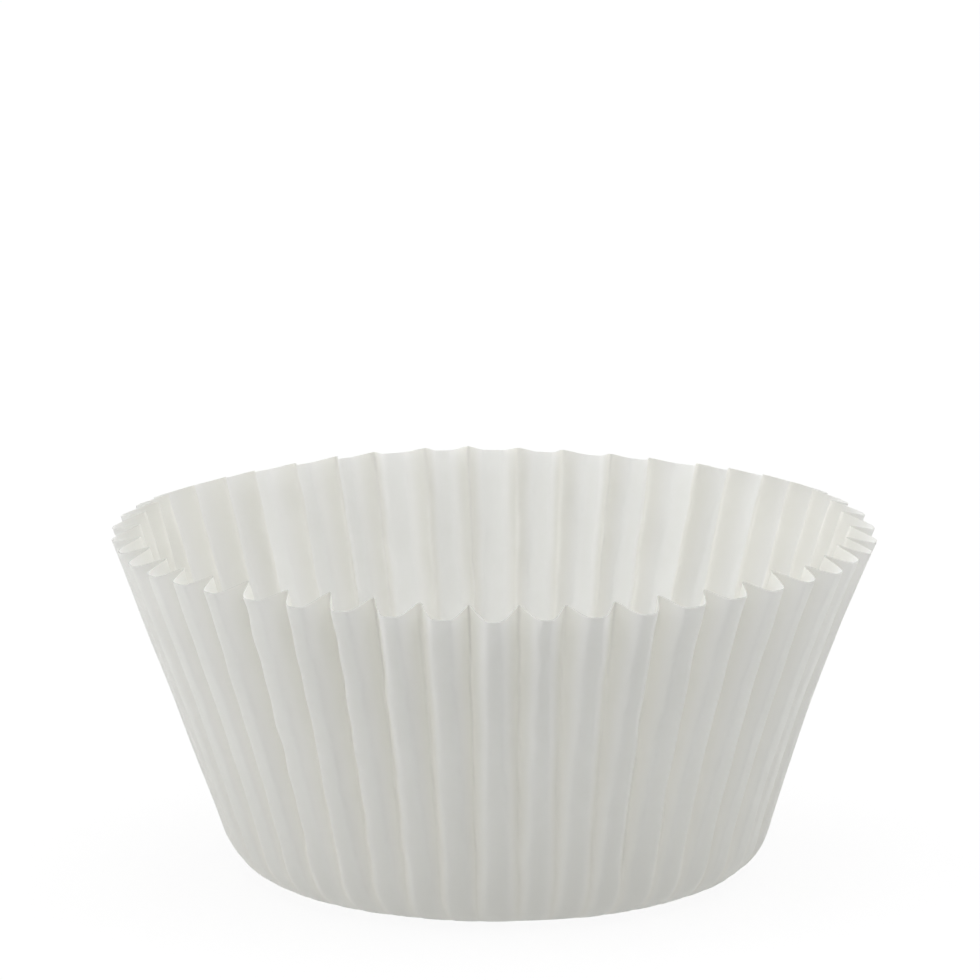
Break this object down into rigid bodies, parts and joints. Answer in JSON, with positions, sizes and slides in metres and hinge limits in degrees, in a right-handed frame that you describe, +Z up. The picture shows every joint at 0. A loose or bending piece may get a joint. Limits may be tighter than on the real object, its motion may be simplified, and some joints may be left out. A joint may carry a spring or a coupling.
{
  "type": "cupcake liner",
  "caption": "Fluted white paper cupcake liner with a flat round base, a rounded corner and a pleated wall that leans out to a scalloped rim.",
  "frame": {"origin": "middle of the flat base, on the surface that the liner stands on", "axes": "+Z up along the liner's axis; -Y is the side that faces the camera in the picture and +X is its right"},
  "size_m": [0.0734, 0.0734, 0.034],
  "materials": {
    "paper": "matte white greaseproof paper"
  },
  "bodies": {
    "root": {"liner": "paper"}
  },
  "joints": []
}
